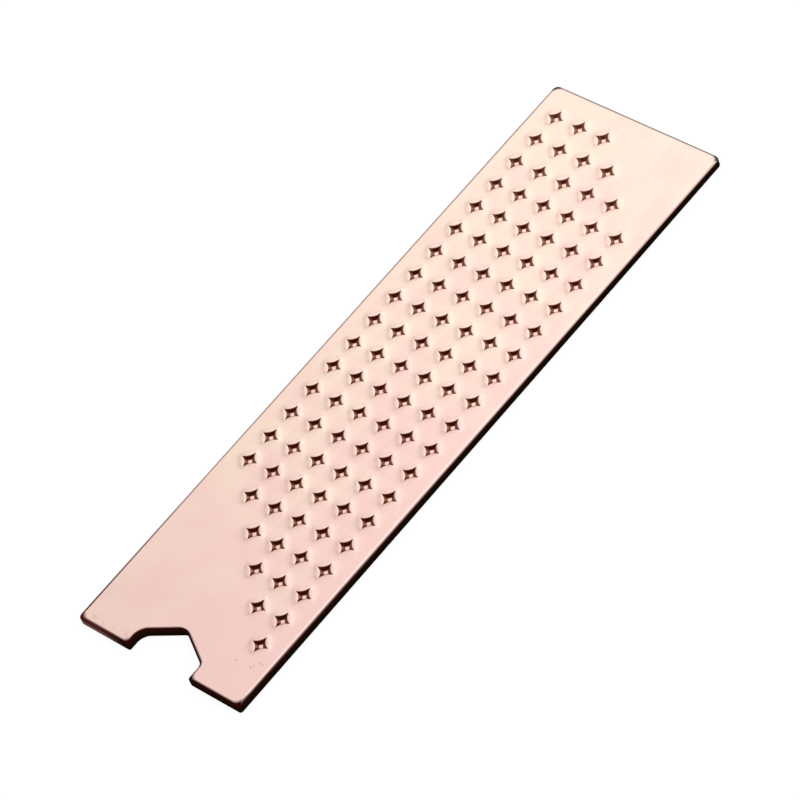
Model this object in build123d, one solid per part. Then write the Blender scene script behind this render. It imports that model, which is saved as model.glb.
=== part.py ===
from build123d import *
import os
from math import cos, floor, radians, sin, sqrt, tan

# Flat copper heat spreader for a plug-in solid-state drive, in millimetres.
# The underside lies on z = 0, the length runs along X, and the notched end is at -X.

# Blank, stamped from sheet: the upper edges are rolled over by the die, the lower ones sheared sharp
plate_length = 70.0
plate_width = 20.0
plate_thickness = 1.0
corner_radius = 0.55
edge_roll_radius = 0.25

# Half-hexagon notch, which clears the head of the drive's hold-down screw
notch_across_flats = 7.5
notch_depth = 3.95
notch_slant_angle = 60.0
notch_shoulder_radius = 1.3
notch_vertex_radius = 0.8
notch_mouth_radius = 0.3

# Star pit: four points along X and Y, hollow sides of a few flats, sloping walls and a flat floor
star_tip_radius = 0.945
star_point_angle = 22.0
star_side_flats = 4
star_wall_angle = 58.0
star_depth = 0.3

# Star field: columns run in from the far end, and rows are centred on the width
column_pitch = 3.028
row_pitch = 2.932
first_column_inset = 3.35
notch_clearance = 0.75
side_clearance = 1.3
far_full_rows = 3

# The punch stands proud of the upper face, so that it cuts clean through it
punch_overshoot = 0.1

field_length = plate_length - first_column_inset - notch_depth - notch_clearance - star_tip_radius
field_width = plate_width - 2 * (side_clearance + star_tip_radius)
column_count = floor(field_length / column_pitch) + 1
row_count = floor(field_width / row_pitch) + 1


def notch():
    half_flats = notch_across_flats / 2
    slant_run = half_flats / tan(radians(notch_slant_angle))
    vertex_x = notch_depth - plate_length / 2
    shoulder_x = vertex_x - slant_run
    tail_x = shoulder_x - notch_depth
    shape = Polygon(
        (tail_x, -half_flats),
        (shoulder_x, -half_flats),
        (vertex_x, 0),
        (shoulder_x, half_flats),
        (tail_x, half_flats),
    )
    shoulders = shape.vertices().sort_by(Axis.X)[2:4]
    shape = fillet(shoulders, notch_shoulder_radius)
    vertex = shape.vertices().sort_by(Axis.X)[-1]
    return fillet(vertex, notch_vertex_radius)


def outline():
    shape = RectangleRounded(plate_length, plate_width, corner_radius) - notch()
    end_corners = shape.vertices().group_by(Axis.X)[0]
    mouth_corners = end_corners.sort_by(lambda corner: abs(corner.Y))[:2]
    return fillet(mouth_corners, notch_mouth_radius)


def blank():
    solid = extrude(outline(), plate_thickness)
    upper_edges = solid.faces().sort_by(Axis.Z)[-1].edges()
    return fillet(upper_edges, edge_roll_radius)


def star_punch():
    # Each hollow side is the foot of a flank: flats on an arc that leaves both tips at half the
    # point angle. The arc is carried one flat past each tip, so that neighbouring flanks cross.
    half_side = star_tip_radius / sqrt(2)
    half_angle = 45 - star_point_angle / 2
    radius = half_side / sin(radians(half_angle))
    centre = (half_side + radius * cos(radians(half_angle))) / sqrt(2)
    flats = star_side_flats + 2
    sweep = 2 * half_angle * flats / star_side_flats
    arc = CenterArc((centre, centre), radius, 225 - sweep / 2, sweep)
    sector = Polygon((centre, centre), *[arc @ (corner / flats) for corner in range(flats + 1)])

    wall_run = star_depth / tan(radians(star_wall_angle))
    height = star_depth + punch_overshoot
    foot = offset(sector, wall_run, kind=Kind.INTERSECTION)
    flank = extrude(foot, height, taper=90 - star_wall_angle)
    width = star_tip_radius + centre
    block = Box(width, width, height, align=(Align.CENTER, Align.CENTER, Align.MIN))
    punch = block - [Rot(0, 0, turn) * flank for turn in (0, 90, 180, 270)]
    return Pos(0, 0, plate_thickness - star_depth) * punch


def star_places():
    # The field is a band with 45-degree ends, squared off along the far end's first rows.
    first_x = plate_length / 2 - first_column_inset
    first_y = row_pitch * (row_count - 1) / 2
    return [
        Pos(first_x - column * column_pitch, first_y - row * row_pitch)
        for row in range(row_count)
        for column in range(column_count)
        if -far_full_rows < column - row <= column_count - row_count
    ]


def heat_spreader():
    punch = star_punch()
    return blank() - [place * punch for place in star_places()]


os.makedirs("parts", exist_ok=True)
plate = heat_spreader()
plate.label = "heat_spreader_plate"
export_step(plate, "parts/heat_spreader_plate.step")
print("stars", len(star_places()), "volume", round(plate.volume, 2), "mm3")
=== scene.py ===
from math import atan2, cos, degrees, hypot, radians, sin, sqrt, tan

import bmesh
import bpy
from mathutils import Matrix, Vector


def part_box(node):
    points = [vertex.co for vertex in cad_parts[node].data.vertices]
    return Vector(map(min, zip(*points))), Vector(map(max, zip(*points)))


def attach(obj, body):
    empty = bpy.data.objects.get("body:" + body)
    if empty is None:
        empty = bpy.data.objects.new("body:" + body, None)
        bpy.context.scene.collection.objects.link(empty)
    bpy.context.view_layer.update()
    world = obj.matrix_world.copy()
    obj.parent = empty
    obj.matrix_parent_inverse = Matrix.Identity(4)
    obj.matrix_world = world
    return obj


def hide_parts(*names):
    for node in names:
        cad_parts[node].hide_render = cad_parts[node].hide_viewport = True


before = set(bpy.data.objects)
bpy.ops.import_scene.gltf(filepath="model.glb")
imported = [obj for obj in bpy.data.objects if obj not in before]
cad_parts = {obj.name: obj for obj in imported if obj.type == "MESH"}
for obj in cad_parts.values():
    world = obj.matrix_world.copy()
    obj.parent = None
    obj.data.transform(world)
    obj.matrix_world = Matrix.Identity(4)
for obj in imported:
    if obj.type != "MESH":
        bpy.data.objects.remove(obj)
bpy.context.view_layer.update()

mm = 0.001  # the plate is drawn in millimetres and brought to metres when it is whole


# selects these pieces and nothing else, with the first one active
def selectOnly(*pieces):
    bpy.ops.object.select_all(action="DESELECT")
    for piece in pieces:
        piece.select_set(True)
    bpy.context.view_layer.objects.active = pieces[0]


def startEditing(piece):
    selectOnly(piece)
    bpy.ops.object.mode_set(mode="EDIT")


def stopEditing():
    bpy.ops.object.mode_set(mode="OBJECT")


def duplicate(piece):
    selectOnly(piece)
    bpy.ops.object.duplicate(linked=False)
    return bpy.context.object


# selects the points, edges or faces of a piece that pass a test of their place
def pick(piece, kind, test):
    bpy.ops.mesh.select_mode(type=kind)
    bpy.ops.mesh.select_all(action="DESELECT")
    mesh = bmesh.from_edit_mesh(piece.data)
    mesh.verts.index_update()
    parts = {"VERT": mesh.verts, "EDGE": mesh.edges, "FACE": mesh.faces}[kind]
    for part in parts:
        if test(part):
            part.select_set(True)
    mesh.select_flush_mode()
    bmesh.update_edit_mesh(piece.data)


# a number on each point for the material to read: the first mark is painted shade, the dark put on
# the edges and in the stars in place of shade and dark reflections, from 0 to 1, and "punched" is
# 1 in and round the stars
def addMark(piece, name):
    selectOnly(piece)
    bpy.ops.geometry.attribute_add(name=name, domain="POINT", data_type="FLOAT")


# sets the mark that was added last, on the selected points
def setMark(amount):
    bpy.ops.mesh.attribute_set(value_float=amount)


plateBody = {
    "node": "heat_spreader_plate",
    "notchFlats": 7.5,
    "notchDepth": 3.95,
    # radius at the sheared edge, and where the roll meets the flat
    "leftShoulder": (1.30, 1.62),
    "rightShoulder": (0.60, 0.90),
    "notchVertex": (0.40, 1.70),
    "nearLeftCorner": (0.35, 0.82),
    "nearRightCorner": (0.25, 0.80),
    "farCorner": (0.50, 0.80),
    "mouthCorner": (0.20, 0.60),
    "cornerSteps": 6,
    "notchedEnd": 5.0,  # how far along the plate its notched end counts
    "nearLeftDark": 1.0,  # painted shade on the near left corner where the left side starts
    "fades": (18.0, 1.9),  # how far up the left and the right side the near corners' painted shade reaches
    "shearedLip": 0.04,
    "rollWidth": 0.32,
    "rollDrop": 0.25,
    # the die roll from the sheared side up to the flat: slope in degrees, and how much painted shade,
    # standing in for dark reflections, it gets at the notched end, at the near end of the right-hand
    # side, along the left-hand side and far end, and at the far end of the right-hand side, where less
    # than 0 is bright before it gets there
    "roll": [
        (90, 1.0, 1.0, 1.0, 1.0),
        (66, 1.0, 1.0, 1.0, 0.1),
        (46, 1.0, 0.8, 0.9, -0.6),
        (28, 1.0, 0.2, 0.45, -0.2),
        (14, 0.5, 0.0, 0.1, 0.0),
        (0, 0.0, 0.0, 0.0, 0.0),
    ],
    "rimWidth": 0.02,
    "smoothAngle": 32,
}


# the plate's block with half of a hexagon cut out of its near end, all corners still sharp
def makeBlank(low, high):
    size = high - low
    bpy.ops.object.select_all(action="DESELECT")
    bpy.ops.mesh.primitive_cube_add(size=1, location=(low + high) / 2, scale=size)
    blank = bpy.context.object
    bpy.ops.object.transform_apply(location=True, rotation=True, scale=True)
    hexRadius = plateBody["notchFlats"] / 2 / cos(radians(30))
    bpy.ops.mesh.primitive_cylinder_add(
        vertices=6, radius=hexRadius, depth=3 * size.z, rotation=(0, 0, radians(30)),
        location=(low.x + plateBody["notchDepth"] - hexRadius, 0, size.z / 2),
    )
    cutter = bpy.context.object
    bpy.context.view_layer.objects.active = blank
    notch = blank.modifiers.new("notch", "BOOLEAN")
    notch.operation = "DIFFERENCE"
    notch.solver = "EXACT"
    notch.object = cutter
    bpy.ops.object.modifier_apply(modifier="notch")
    bpy.data.objects.remove(cutter)
    addMark(blank, "paintedShade")
    return blank


# a corner's radius on a level that lies some share of the way from the sheared edge to the flat
def levelRadius(corner, share):
    sheared, flat = plateBody[corner]
    return sheared + share * (flat - sheared)


# one level of the plate's outline: inset from the edge, brought to its height, corners rounded
def makeOutline(blank, low, high, inset, height, share):
    outline = duplicate(blank)
    startEditing(outline)
    pick(outline, "FACE", lambda face: face.normal.z < 0.9)  # all but the upper face
    bpy.ops.mesh.delete(type="FACE")
    bpy.ops.mesh.select_all(action="SELECT")
    if inset > 0:
        bpy.ops.mesh.inset(thickness=inset, depth=0)
        bpy.ops.mesh.select_all(action="INVERT")
        bpy.ops.mesh.delete(type="FACE")
        bpy.ops.mesh.select_all(action="SELECT")
    bpy.ops.transform.translate(value=(0, 0, height - high.z))

    near = 0.01
    halfFlats = plateBody["notchFlats"] / 2 + inset
    vertexX = low.x + plateBody["notchDepth"]
    shoulderX = vertexX - plateBody["notchFlats"] / 2 / sqrt(3)
    halfWayX = (shoulderX + vertexX) / 2
    bluntReach = tan(radians(30))  # how far a radius of 1 reaches from a corner of the hexagon
    rounds = [
        (
            levelRadius("nearLeftCorner", share),
            lambda place: place.x < 0 and place.y > high.y - inset - near,
        ),
        (
            levelRadius("nearRightCorner", share),
            lambda place: place.x < 0 and place.y < low.y + inset + near,
        ),
        (
            levelRadius("farCorner", share),
            lambda place: place.x > 0 and abs(place.y) > high.y - inset - near,
        ),
        (
            levelRadius("mouthCorner", share),
            lambda place: place.x < low.x + inset + near and abs(place.y) < halfFlats + near,
        ),
        (
            levelRadius("leftShoulder", share) * bluntReach,
            lambda place: shoulderX - near < place.x < halfWayX and 0 < place.y < halfFlats + near,
        ),
        (
            levelRadius("rightShoulder", share) * bluntReach,
            lambda place: shoulderX - near < place.x < halfWayX and -halfFlats - near < place.y < 0,
        ),
        (
            levelRadius("notchVertex", share) * bluntReach,
            lambda place: vertexX - near < place.x < 0 and abs(place.y) < near,
        ),
    ]
    for reach, test in rounds:
        pick(outline, "VERT", lambda point: test(point.co))
        bpy.ops.mesh.bevel(
            affect="VERTICES", offset=reach, segments=plateBody["cornerSteps"], profile=0.5
        )

    # a point on each long side, where the painted shade of the near corner has faded
    for side, fade in zip((1, -1), plateBody["fades"]):
        pick(
            outline, "EDGE",
            lambda edge: edge.calc_length() > high.x and side * edge.verts[0].co.y > 0,
        )
        bpy.ops.mesh.subdivide(number_cuts=1)
        pick(outline, "VERT", lambda point: abs(point.co.x) < high.x / 2 and side * point.co.y > 0)
        bpy.ops.transform.translate(value=(low.x + fade, 0, 0))
    stopEditing()
    return outline


# how much painted shade one level gets along each side and round the corners
def markOutline(outline, low, high, inset, share, paintedShade):
    near = 0.001
    endShade, rightShade, leftShade, farRightShade = paintedShade
    rightY, leftY = low.y + inset + near, high.y - inset - near
    leftReach, rightReach = [
        low.x + levelRadius(corner, share) + inset + near
        for corner in ("nearLeftCorner", "nearRightCorner")
    ]
    startEditing(outline)
    bpy.ops.mesh.select_all(action="SELECT")
    setMark(leftShade)
    pick(outline, "VERT", lambda point: point.co.x < low.x + plateBody["notchedEnd"])
    setMark(endShade)
    pick(outline, "VERT", lambda point: point.co.y < rightY and point.co.x > rightReach)
    setMark(rightShade)
    pick(outline, "VERT", lambda point: point.co.y < rightY and point.co.x < rightReach)
    setMark((rightShade + endShade) / 2)
    pick(outline, "VERT", lambda point: point.co.y > leftY and point.co.x < leftReach)
    setMark(plateBody["nearLeftDark"])

    # the right-hand side's painted black goes round the far corner and thins out
    steps = plateBody["cornerSteps"]
    for step in range(steps - 1, 0, -1):
        turn = radians(90 * step / steps)
        reach = rightY + levelRadius("farCorner", share) * (1 - cos(turn))
        pick(outline, "VERT", lambda point: point.co.y < reach and point.co.x > high.x / 2)
        setMark(rightShade + step / steps * (leftShade - rightShade))
    pick(outline, "VERT", lambda point: point.co.y < rightY and point.co.x > high.x / 2)
    setMark(farRightShade)

    # the far left corner's roll gets as much painted shade as the notched end
    cornerX, cornerY = [
        reach - inset - levelRadius("farCorner", share) + near for reach in (high.x, high.y)
    ]
    pick(outline, "VERT", lambda point: point.co.x > cornerX and cornerY < point.co.y < leftY)
    setMark(endShade)

    # the notch's right flat is left bright by its shoulder, and its painted shade deepens towards the
    # mouth
    flatY = -plateBody["notchFlats"] / 2 - inset
    mouthReach = low.x + inset + levelRadius("mouthCorner", share) + near
    pick(
        outline, "VERT",
        lambda point: abs(point.co.y - flatY) < near and mouthReach < point.co.x < 0,
    )
    setMark(endShade * (1 - share))
    stopEditing()


def makeBody():
    low, high = [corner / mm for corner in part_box(plateBody["node"])]
    blank = makeBlank(low, high)

    # the sheared sides and the roll, each level as inset, height, share of the way through the
    # roll, and how much painted shade it gets on the sides that the roll list names
    levels = [(0.0, low.z, 0.0, (1.0, 1.0, 1.0, 1.0))]
    for slope, *paintedShade in plateBody["roll"]:
        share = 1 - sin(radians(slope))
        drop = plateBody["rollDrop"] * (1 - cos(radians(slope)))
        levels.append((plateBody["rollWidth"] * share, high.z - drop, share, paintedShade))

    body = None
    for inset, height, share, paintedShade in levels:
        outline = makeOutline(blank, low, high, inset, height, share)
        markOutline(outline, low, high, inset, share, paintedShade)
        if body is None:
            body = outline
            continue
        startEditing(outline)
        bpy.ops.mesh.select_all(action="SELECT")
        bpy.ops.mesh.delete(type="ONLY_FACE")
        stopEditing()
        selectOnly(body, outline)
        bpy.ops.object.join()
        startEditing(body)
        pick(body, "EDGE", lambda edge: len(edge.link_faces) < 2)
        bpy.ops.mesh.bridge_edge_loops()
        stopEditing()
    bpy.data.objects.remove(blank)

    # a bright underside within the sheared lip, and a narrow flat rim inside the roll
    near = 0.001
    startEditing(body)
    pick(body, "FACE", lambda face: face.calc_center_median().z < low.z + near)
    bpy.ops.mesh.inset(thickness=plateBody["shearedLip"], depth=0)
    setMark(0.0)
    pick(body, "EDGE", lambda edge: len(edge.link_faces) < 2)
    bpy.ops.mesh.edge_face_add()
    bpy.ops.mesh.inset(thickness=plateBody["rimWidth"], depth=0)
    setMark(0.0)
    bpy.ops.mesh.delete(type="ONLY_FACE")
    stopEditing()
    print("body", len(body.data.polygons), "faces")
    return body, high


starPit = {
    "ringPoints": 24,
    "tipRadius": 0.945,
    "pointAngle": 22,
    "depth": 0.27,
    "wallAngle": 47,
    "pitch": (3.028, 2.932),
    "floorShare": 0.62,  # the floor's size beside the foot of the walls
    # walls from the floor up: share of the way in from the star's edge, how much painted shade
    "wallRings": [(1.0, 1.0), (0.85, 1.1), (0.35, 1.1), (0.10, 1.1)],
    # less painted shade: the upper left and lower right walls, the upper left one half way between its
    # tips and some degrees to either side, the lower left one, and the tips
    "paleWalls": (0.84, 0.76),
    "paleWaist": 0.43,
    "waistReach": 20,
    "nearWall": 0.25,
    "tipShade": 0.88,
    # metal pushed up round the star: share of the way to the mound's foot, height
    "moundFoot": 1.35,
    "moundRings": [(0.04, 0.032), (0.16, 0.043), (0.52, 0.012), (1.0, 0.0)],
    "nearLip": (0.35, 0.1),  # painted shade on the first two mound rings at the lower left
}


# distance from the star's centre to its edge, an arc between two tips, moved in by some amount
def starEdge(angle, moved=0.0):
    halfSide = starPit["tipRadius"] / sqrt(2)
    halfAngle = radians(45 - starPit["pointAngle"] / 2)
    arcRadius = halfSide / sin(halfAngle)
    arcCentre = (halfSide + arcRadius * cos(halfAngle)) / sqrt(2)
    along = arcCentre * (cos(angle) + sin(angle))
    return along - sqrt(along ** 2 - 2 * arcCentre ** 2 + (arcRadius + moved) ** 2)


# moves the selected ring's points out or in: mirrored points share one resize about the centre
def shapeRing(piece, wantedPlace):
    mesh = bmesh.from_edit_mesh(piece.data)
    mesh.verts.index_update()
    groups = {}
    for point in mesh.verts:
        if point.select:
            key = (round(abs(point.co.x), 4), round(abs(point.co.y), 4))
            groups.setdefault(key, []).append(point.index)
    ring = {index for members in groups.values() for index in members}
    for (x, y), members in groups.items():
        newX, newY = wantedPlace(atan2(y, x))
        pick(piece, "VERT", lambda point: point.index in members)
        bpy.ops.transform.resize(
            value=(newX / x if x else 1, newY / y if y else 1, 1), center_override=(0, 0, 0)
        )
    pick(piece, "VERT", lambda point: point.index in ring)


def makeStarCell(topZ):
    floorZ = topZ - starPit["depth"]
    bpy.ops.object.select_all(action="DESELECT")
    bpy.ops.mesh.primitive_circle_add(
        vertices=starPit["ringPoints"], radius=starPit["tipRadius"], fill_type="NGON",
        location=(0, 0, floorZ),
    )
    cell = bpy.context.object
    bpy.ops.object.transform_apply(location=True, rotation=True, scale=True)
    addMark(cell, "paintedShade")
    startEditing(cell)
    bpy.ops.mesh.select_all(action="SELECT")
    height = floorZ

    def ring(newZ, paintedShade, distance):
        nonlocal height
        bpy.ops.mesh.extrude_edges_move(TRANSFORM_OT_translate={"value": (0, 0, newZ - height)})
        height = newZ
        shapeRing(cell, lambda angle: (distance(angle) * cos(angle), distance(angle) * sin(angle)))
        setMark(paintedShade)

    # the flat floor, a little smaller than the foot of the walls
    wallRun = starPit["depth"] / tan(radians(starPit["wallAngle"]))

    def floorEdge(angle):
        return starEdge(angle, wallRun) * starPit["floorShare"]

    shapeRing(cell, lambda angle: (floorEdge(angle) * cos(angle), floorEdge(angle) * sin(angle)))
    setMark(0.0)
    for share, paintedShade in starPit["wallRings"]:
        ring(topZ - share * starPit["depth"], paintedShade, lambda angle: starEdge(angle, share * wallRun))
    for share, rise in starPit["moundRings"]:
        ring(
            topZ + rise, 0.0,
            lambda angle: starEdge(angle) + share * (starPit["moundFoot"] - starEdge(angle)),
        )

    # out to the oblong that one star has to itself, so that neighbours meet point to point
    halfX, halfY = [pitch / 2 for pitch in starPit["pitch"]]
    stepsToCorner = starPit["ringPoints"] / 8

    def oblong(angle):
        steps = degrees(angle) / 360 * starPit["ringPoints"]
        if steps <= stepsToCorner:
            return halfX, halfY * steps / stepsToCorner
        return halfX * (2 - steps / stepsToCorner), halfY

    bpy.ops.mesh.extrude_edges_move(TRANSFORM_OT_translate={"value": (0, 0, 0)})
    shapeRing(cell, oblong)
    setMark(0.0)

    # the walls that get less painted shade, and the lip of the lower left one
    near = 0.01

    def onWall(place):
        edge = floorEdge(atan2(abs(place.y), abs(place.x)))
        return place.z < topZ - near and hypot(place.x, place.y) > edge + near

    def onWaist(place):
        return abs(degrees(atan2(place.y, -place.x)) - 45) < starPit["waistReach"]

    walls = [
        (starPit["tipShade"], lambda place: min(abs(place.x), abs(place.y)) < near),
        (starPit["paleWalls"][0], lambda place: place.x < -near and place.y > near),
        (starPit["paleWalls"][1], lambda place: place.x > near and place.y < -near),
        (starPit["paleWaist"], onWaist),
        (starPit["nearWall"], lambda place: place.x < -near and place.y < -near),
    ]
    for paintedShade, test in walls:
        pick(cell, "VERT", lambda point: onWall(point.co) and test(point.co))
        setMark(paintedShade)
    for (_, rise), paintedShade in zip(starPit["moundRings"], starPit["nearLip"]):
        pick(
            cell, "VERT",
            lambda point: abs(point.co.z - topZ - rise) < near / 10
            and point.co.x < -near and point.co.y < -near,
        )
        setMark(paintedShade)
    stopEditing()

    addMark(cell, "punched")
    startEditing(cell)
    bpy.ops.mesh.select_all(action="SELECT")
    setMark(1.0)
    stopEditing()
    print("star cell", len(cell.data.polygons), "faces")
    return cell


starField = {
    "rows": 6,
    "columns": 21,
    "farFullRows": 3,
    "firstColumnInset": 3.35,
    "mergeReach": 0.01,
}


# a band of stars with slanted ends, squared off along the far end's first rows
def makeStarField(cell, farX):
    pitchX, pitchY = starPit["pitch"]
    rows = starField["rows"]
    lanes = []
    for row in range(rows):
        firstColumn = max(0, row - starField["farFullRows"] + 1)
        lastColumn = row + starField["columns"] - rows
        startX = farX - starField["firstColumnInset"] - firstColumn * pitchX
        startY = pitchY * ((rows - 1) / 2 - row)
        lane = duplicate(cell)
        lane.location = (startX, startY, 0)
        bpy.ops.object.transform_apply(location=True, rotation=True, scale=True)
        stars = lane.modifiers.new("stars", "ARRAY")
        stars.count = lastColumn - firstColumn + 1
        stars.use_relative_offset = False
        stars.use_constant_offset = True
        stars.constant_offset_displace = (-pitchX, 0, 0)
        stars.use_merge_vertices = True
        stars.merge_threshold = starField["mergeReach"]
        bpy.ops.object.modifier_apply(modifier="stars")
        lanes.append(lane)
    bpy.data.objects.remove(cell)

    selectOnly(*lanes)
    bpy.ops.object.join()
    field = lanes[0]
    startEditing(field)
    bpy.ops.mesh.select_all(action="SELECT")
    bpy.ops.mesh.remove_doubles(threshold=starField["mergeReach"])
    stopEditing()
    print("star field", len(field.data.polygons), "faces")
    return field


def makePlate():
    plate, high = makeBody()
    field = makeStarField(makeStarCell(high.z), high.x)
    selectOnly(plate, field)
    bpy.ops.object.join()
    plate.name = "copper_plate"
    plate.data.name = "copper_plate"

    # the plain margin between the star field and the roll
    startEditing(plate)
    pick(plate, "EDGE", lambda edge: len(edge.link_faces) == 1)
    bpy.ops.mesh.fill(use_beauty=True)
    bpy.ops.mesh.select_all(action="SELECT")
    bpy.ops.mesh.normals_make_consistent(inside=False)
    bpy.ops.transform.resize(value=(mm, mm, mm), center_override=(0, 0, 0))
    stopEditing()
    bpy.ops.object.shade_smooth_by_angle(angle=radians(plateBody["smoothAngle"]))
    print("plate", len(plate.data.polygons), "faces")
    return plate


copperFinish = {
    "pink": (0.935, 0.640, 0.585),
    "tan": (0.945, 0.725, 0.610),
    "sheenTanGain": (0.014, 0.040, 0.0),  # painted sheen, where the light is brighter: more tan with each millimetre along and across the plate
    # patches of pink and tan: their noise, the part of it that counts, and how tan they get
    "patches": {"Scale": 190.0, "Detail": 2.0, "Roughness": 0.5},
    "patchSpread": (0.35, 0.65, 0.1, 0.9),
    # rolled grain, long and fine, along the plate
    "grainStretch": (120.0, 2600.0, 2600.0),
    "grain": {"Scale": 1.0, "Detail": 3.0, "Roughness": 0.6},
    "grainSpread": (0.3, 0.7),
    "roughness": (0.17, 0.24),
    # half and full painted shade, on the edges and in the stars, in place of shade and dark
    # reflections
    "halfShadeAt": 0.5,
    "edgeHalfShadeAndScuff": (0.36, 0.25, 0.23),
    "starHalfShade": (0.50, 0.20, 0.13),
    "starDeepShade": (0.048, 0.0065, 0.0025),
    "starGain": 0.0045,  # how much more painted shade a star gets with each millimetre towards the notch
    # painted shade on the edges for the dark they reflect, right-hand and left-hand, by the roll and
    # below it, and where they change
    "rollDeepShade": ((0.024, 0.0035, 0.0025), (0.080, 0.016, 0.015)),
    "shearDeepShade": ((0.008, 0.0045, 0.002), (0.170, 0.115, 0.085)),
    "changeUpward": (0.42, 0.70),
    "changeAcross": (4.5, 7.0),
    "shadeGloss": 0.0,
    "shadeRoughness": 0.42,
    # strength, and height in millimetres
    "grainBump": (0.12, 0.01),
    "patchBump": (0.3, 0.03),
    "scuffBump": (0.3, 0.02),
    # faint scuff strokes near the last star, and blotches of painted shade by the notched end, in
    # millimetres and degrees: x, y, half length, half width, turn, strength
    "scuffsAndShade": [
        (-31.295, -6.474, 0.17, 0.14, 0, 0.75),
        (-31.195, -8.113, 0.36, 0.10, 55, 0.5),
        (-30.974, -8.259, 0.36, 0.09, 30, 0.5),
        (-30.470, -8.740, 0.50, 0.10, 89, 0.5),
        (-34.25, 8.45, 0.70, 0.40, 70, 0.22),
        (-34.42, 7.30, 0.45, 0.22, 20, 0.15),
        (-34.30, 6.08, 0.45, 0.20, 60, 0.15),
        (-34.27, 4.51, 0.60, 0.30, 40, 0.2),
        (-32.35, 3.42, 0.15, 0.12, 0, 0.4),
        (-31.84, -2.90, 0.20, 0.12, 30, 0.2),
    ],
}


# an input takes a plain value, or the output of another node
def feed(tree, slot, value):
    if isinstance(value, bpy.types.NodeSocket):
        tree.links.new(value, slot)
    else:
        slot.default_value = value


def addNode(tree, kind, inputs=None, **settings):
    node = tree.nodes.new(kind)
    for name, value in settings.items():
        setattr(node, name, value)
    for slot, value in (inputs or {}).items():
        feed(tree, node.inputs[slot], value)
    return node


def addMath(tree, operation, *values, clamped=False):
    inputs = dict(enumerate(values))
    node = addNode(tree, "ShaderNodeMath", inputs, operation=operation, use_clamp=clamped)
    return node.outputs["Value"]


def mapRange(tree, value, fromMin, fromMax, toMin=0.0, toMax=1.0, clamped=True):
    inputs = {
        "Value": value, "From Min": fromMin, "From Max": fromMax, "To Min": toMin, "To Max": toMax,
    }
    return addNode(tree, "ShaderNodeMapRange", inputs, clamp=clamped).outputs["Result"]


def mixColours(tree, share, first, second):
    first, second = [
        (*colour, 1) if isinstance(colour, tuple) else colour for colour in (first, second)
    ]
    inputs = {0: share, 6: first, 7: second}  # this node has its colours at these places
    return addNode(tree, "ShaderNodeMix", inputs, data_type="RGBA").outputs[2]


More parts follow.
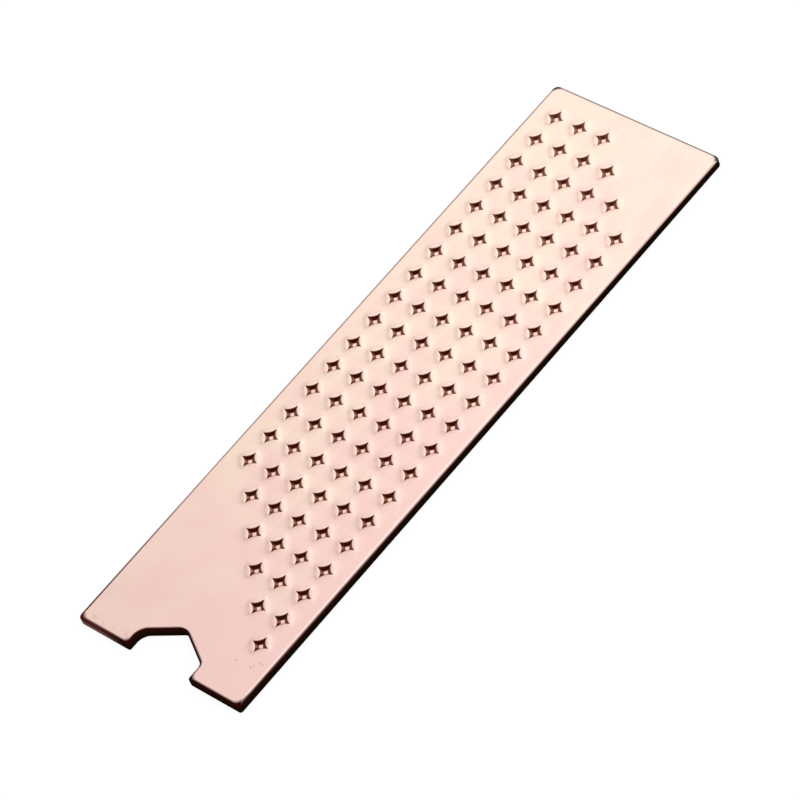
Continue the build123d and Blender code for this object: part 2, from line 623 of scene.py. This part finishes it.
def makeCopper():
    material = bpy.data.materials.new("stampedCopper")
    material.use_nodes = True
    tree = material.node_tree
    shader = tree.nodes["Principled BSDF"]
    shader.inputs["Specular IOR Level"].default_value = copperFinish["shadeGloss"]
    coords = addNode(tree, "ShaderNodeTexCoord").outputs["Object"]
    place = addNode(tree, "ShaderNodeSeparateXYZ", {"Vector": coords}).outputs
    marked = addNode(tree, "ShaderNodeAttribute", attribute_name="paintedShade").outputs["Fac"]
    punched = addNode(tree, "ShaderNodeAttribute", attribute_name="punched").outputs["Fac"]

    # the stars' painted shade grows deeper towards the notched end
    starPlace = addMath(tree, "MULTIPLY", place["X"], punched)
    starShare = addMath(tree, "MULTIPLY_ADD", starPlace, -copperFinish["starGain"] / mm, 1.0)
    paintedShade = addMath(tree, "MULTIPLY", marked, starShare, clamped=True)

    # soft patches of pink and tan, a few millimetres across, with a painted sheen of more tan towards
    # the far left
    sheenTanGain = [gain / mm for gain in copperFinish["sheenTanGain"]]
    towardsSheen = addNode(
        tree, "ShaderNodeVectorMath", {0: coords, 1: sheenTanGain}, operation="DOT_PRODUCT"
    )
    patchNoise = {"Vector": coords, **copperFinish["patches"]}
    patches = addNode(tree, "ShaderNodeTexNoise", patchNoise).outputs["Fac"]
    patchShare = mapRange(tree, patches, *copperFinish["patchSpread"], clamped=False)
    tanAndSheenShare = addMath(tree, "ADD", towardsSheen.outputs["Value"], patchShare, clamped=True)
    bright = mixColours(tree, tanAndSheenShare, copperFinish["pink"], copperFinish["tan"])

    stretch = {"Vector": coords, "Scale": copperFinish["grainStretch"]}
    stretched = addNode(tree, "ShaderNodeMapping", stretch).outputs["Vector"]
    grainNoise = {"Vector": stretched, **copperFinish["grain"]}
    grain = addNode(tree, "ShaderNodeTexNoise", grainNoise).outputs["Fac"]

    # scuffs, and blotches of painted shade: a soft spot stretched along each stroke
    scuffedAndShaded = 0.0
    for x, y, halfLength, halfWidth, turn, strength in copperFinish["scuffsAndShade"]:
        spotPlace = {
            "Vector": coords,
            "Location": (x * mm, y * mm, mm),
            "Rotation": (0, 0, radians(turn)),
            "Scale": (halfLength * mm, halfWidth * mm, halfWidth * mm),
        }
        toSpot = addNode(tree, "ShaderNodeMapping", spotPlace, vector_type="TEXTURE")
        spot = addNode(
            tree, "ShaderNodeTexGradient", {"Vector": toSpot.outputs["Vector"]},
            gradient_type="SPHERICAL",
        )
        stroke = addMath(tree, "MULTIPLY", spot.outputs["Fac"], strength)
        scuffedAndShaded = addMath(tree, "MAXIMUM", scuffedAndShaded, stroke)
    dulledAndShaded = mixColours(tree, scuffedAndShaded, bright, copperFinish["edgeHalfShadeAndScuff"])

    # painted shade on the edges, red by the roll and below it black to olive, and another in the stars
    upward = mapRange(tree, place["Z"], *[z * mm for z in copperFinish["changeUpward"]])
    across = mapRange(tree, place["Y"], *[y * mm for y in copperFinish["changeAcross"]])
    shearDeepShade = mixColours(tree, across, *copperFinish["shearDeepShade"])
    rollDeepShade = mixColours(tree, across, *copperFinish["rollDeepShade"])
    edgeDeepShade = mixColours(tree, upward, shearDeepShade, rollDeepShade)
    deepShade = mixColours(tree, punched, edgeDeepShade, copperFinish["starDeepShade"])
    halfShade = mixColours(tree, punched, copperFinish["edgeHalfShadeAndScuff"], copperFinish["starHalfShade"])

    # bright metal turns to half painted shade over the first half of the mark, and to full painted
    # shade over the second
    toHalfShade = mapRange(tree, paintedShade, 0.0, copperFinish["halfShadeAt"])
    toDeepShade = mapRange(tree, paintedShade, copperFinish["halfShadeAt"], 1.0)
    halfShaded = mixColours(tree, toHalfShade, dulledAndShaded, halfShade)
    feed(tree, shader.inputs["Base Color"], mixColours(tree, toDeepShade, halfShaded, deepShade))
    feed(tree, shader.inputs["Metallic"], addMath(tree, "SUBTRACT", 1.0, paintedShade))

    satin = mapRange(tree, grain, *copperFinish["grainSpread"], *copperFinish["roughness"])
    roughness = addNode(
        tree, "ShaderNodeMix", {0: paintedShade, 2: satin, 3: copperFinish["shadeRoughness"]},
        data_type="FLOAT",
    )
    feed(tree, shader.inputs["Roughness"], roughness.outputs[0])

    # grain, patches and scuffs, one bump on the other; the scuffs go in
    normal = {}
    for height, bump, inward in (
        (grain, "grainBump", False), (patches, "patchBump", False), (scuffedAndShaded, "scuffBump", True),
    ):
        strength, distance = copperFinish[bump]
        inputs = {"Height": height, "Strength": strength, "Distance": distance * mm, **normal}
        bumped = addNode(tree, "ShaderNodeBump", inputs, invert=inward)
        normal = {"Normal": bumped.outputs["Normal"]}
    feed(tree, shader.inputs["Normal"], normal["Normal"])
    return material


plate = makePlate()
plate.data.materials.clear()
plate.data.materials.append(makeCopper())
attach(plate, "root")
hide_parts(plateBody["node"])
print("copper finish on", plate.name)

paleFloor = {
    "size": 30.0,
    "colour": (0.86, 0.86, 0.86, 1),
    "seenColour": (0.14, 0.14, 0.14, 1),
    "glow": 0.89,
}


# white to the camera and in the metal, and it still takes a soft shadow
def makeFloor():
    bpy.ops.object.select_all(action="DESELECT")
    bpy.ops.mesh.primitive_plane_add(size=paleFloor["size"], location=(0, 0, 0))
    floor = bpy.context.object
    floor.name = "pale_floor"
    material = bpy.data.materials.new("paleFloor")
    material.use_nodes = True
    tree = material.node_tree
    tree.nodes.clear()
    rays = addNode(tree, "ShaderNodeLightPath").outputs
    plain = addNode(tree, "ShaderNodeBsdfDiffuse", {"Color": paleFloor["colour"]}).outputs["BSDF"]
    seen = addNode(tree, "ShaderNodeBsdfDiffuse", {"Color": paleFloor["seenColour"]}).outputs["BSDF"]
    glow = addNode(tree, "ShaderNodeEmission", {"Strength": paleFloor["glow"]}).outputs["Emission"]
    seenGlow = addNode(tree, "ShaderNodeAddShader", {0: seen, 1: glow}).outputs["Shader"]
    direct = addMath(tree, "MAXIMUM", rays["Is Camera Ray"], rays["Is Glossy Ray"])
    either = addNode(tree, "ShaderNodeMixShader", {0: direct, 1: plain, 2: seenGlow}).outputs["Shader"]
    addNode(tree, "ShaderNodeOutputMaterial", {"Surface": either})
    floor.data.materials.append(material)


softLight = {
    "brightSide": (0.851, -0.526, 0.0),  # the side that the big soft light stands on
    "spread": 0.45,
    "strength": 1.53,
    # share of the way from the dim side to the bright side, and the grey there
    "greys": [
        (0.0, 0.42), (0.30, 0.45), (0.42, 0.60), (0.5, 0.705),
        (0.58, 0.855), (0.68, 0.90), (1.0, 0.74),
    ],
    "lowReach": (0.50, 0.71),  # how high the light comes from, as the sine of its height
    "lowShare": 0.6,
    "keyPlace": (-0.45, 0.25, 1.1),
    "keyTurn": (-13, -22, 0),
    "keySize": 0.7,
    "keyPower": 2.0,
}


def makeLight():
    world = bpy.data.worlds.new("softStudio")
    bpy.context.scene.world = world
    world.use_nodes = True
    tree = world.node_tree
    sky = tree.nodes["Background"]
    direction = addNode(tree, "ShaderNodeTexCoord").outputs["Generated"]
    side = addNode(
        tree, "ShaderNodeVectorMath", {0: direction, 1: softLight["brightSide"]},
        operation="DOT_PRODUCT",
    )
    share = mapRange(tree, side.outputs["Value"], -softLight["spread"], softLight["spread"])
    ramp = addNode(tree, "ShaderNodeValToRGB", {"Fac": share})
    stops = ramp.color_ramp.elements
    while len(stops) < len(softLight["greys"]):
        stops.new(0.5)
    for stop, (place, grey) in zip(stops, softLight["greys"]):
        stop.position = place
        stop.color = (grey, grey, grey, 1)

    # a little dimmer low down, so that the far slope of a mound shows
    upward = addNode(tree, "ShaderNodeSeparateXYZ", {"Vector": direction}).outputs["Z"]
    dimming = mapRange(tree, upward, *softLight["lowReach"], softLight["lowShare"], 1.0)
    dimmed = addNode(
        tree, "ShaderNodeMix", {0: 1.0, 6: ramp.outputs["Color"], 7: dimming},
        data_type="RGBA", blend_type="MULTIPLY",
    )
    feed(tree, sky.inputs["Color"], dimmed.outputs[2])
    sky.inputs["Strength"].default_value = softLight["strength"]

    bpy.ops.object.select_all(action="DESELECT")
    bpy.ops.object.light_add(
        type="AREA", location=softLight["keyPlace"],
        rotation=[radians(turn) for turn in softLight["keyTurn"]],
    )
    key = bpy.context.object
    key.name = "softKey"
    key.data.size = softLight["keySize"]
    key.data.energy = softLight["keyPower"]


cameraView = {
    "place": (-153.3725, -248.0671, 326.5794),
    "turn": (39.1652, 15.5881, -49.8059),
    "lens": 216.941,
    "sensor": 36.0,
}


def makeCamera():
    bpy.ops.object.select_all(action="DESELECT")
    bpy.ops.object.camera_add(
        location=[place * mm for place in cameraView["place"]],
        rotation=[radians(turn) for turn in cameraView["turn"]],
    )
    camera = bpy.context.object
    camera.data.lens = cameraView["lens"]
    camera.data.sensor_width = cameraView["sensor"]
    bpy.context.scene.camera = camera


makeFloor()
makeLight()
makeCamera()
bpy.context.scene.view_settings.view_transform = "Standard"
print("floor, light and camera set")
